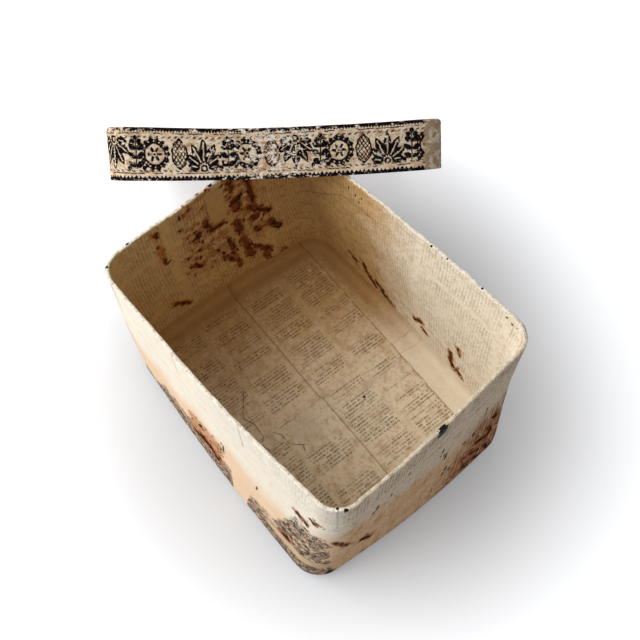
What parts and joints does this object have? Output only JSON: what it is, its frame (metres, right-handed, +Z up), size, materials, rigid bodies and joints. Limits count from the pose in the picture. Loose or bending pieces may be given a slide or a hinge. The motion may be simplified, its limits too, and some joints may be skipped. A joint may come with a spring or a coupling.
{
  "type": "storage basket",
  "caption": "Deep rectangular basket of plaited splints, pasted over inside and out with old printed sheets, with its shallow telescoping lid leaning on a corner of the rim.",
  "frame": {"origin": "centre of the basket's underside, on the surface that it stands on", "axes": "+Z up, X along the rim's long side, +X to the right seen from the front, +Y to the back, where the lid leans on the back left corner"},
  "size_m": [0.6446, 0.5333, 0.265],
  "materials": {
    "splint": "raw, dull",
    "hoop": "raw, dull",
    "page_paper": "matte, aged",
    "print_paper": "matte, block printed, worn",
    "plain_paper": "matte, aged"
  },
  "bodies": {
    "basket": {"splint_core": "splint", "rim_hoop": "hoop", "floor_page_1": "page_paper", "floor_page_2": "page_paper", "floor_page_3": "page_paper", "floor_page_4": "page_paper", "wall_page_1": "page_paper", "wall_page_2": "page_paper", "wall_page_3": "page_paper", "wall_page_4": "page_paper", "wall_page_5": "page_paper", "wall_page_6": "page_paper", "wall_page_7": "page_paper", "wall_page_8": "page_paper", "wall_page_9": "page_paper", "wall_page_10": "page_paper", "cover_upper_front": "print_paper", "cover_upper_right": "print_paper", "cover_upper_back": "print_paper", "cover_upper_left": "print_paper", "cover_lower_front": "print_paper", "cover_lower_right": "print_paper", "cover_lower_back": "print_paper", "cover_lower_left": "print_paper", "base_sheet": "plain_paper"},
    "lid": {"lid_core": "splint", "lid_hoop": "hoop", "lid_top_sheet": "print_paper", "lid_band_lower": "print_paper", "lid_band_right": "print_paper", "lid_band_upper": "print_paper", "lid_band_left": "print_paper", "lid_wall_page_lower": "page_paper", "lid_wall_page_right": "page_paper", "lid_wall_page_upper": "page_paper", "lid_wall_page_left": "page_paper", "lid_top_page_left": "page_paper", "lid_top_page_right": "page_paper"}
  },
  "joints": [
    {"name": "lid_lift", "type": "slide", "parent": "basket", "child": "lid", "axis": [0, 0, 1], "range_m": [0, 0.26]}
  ]
}
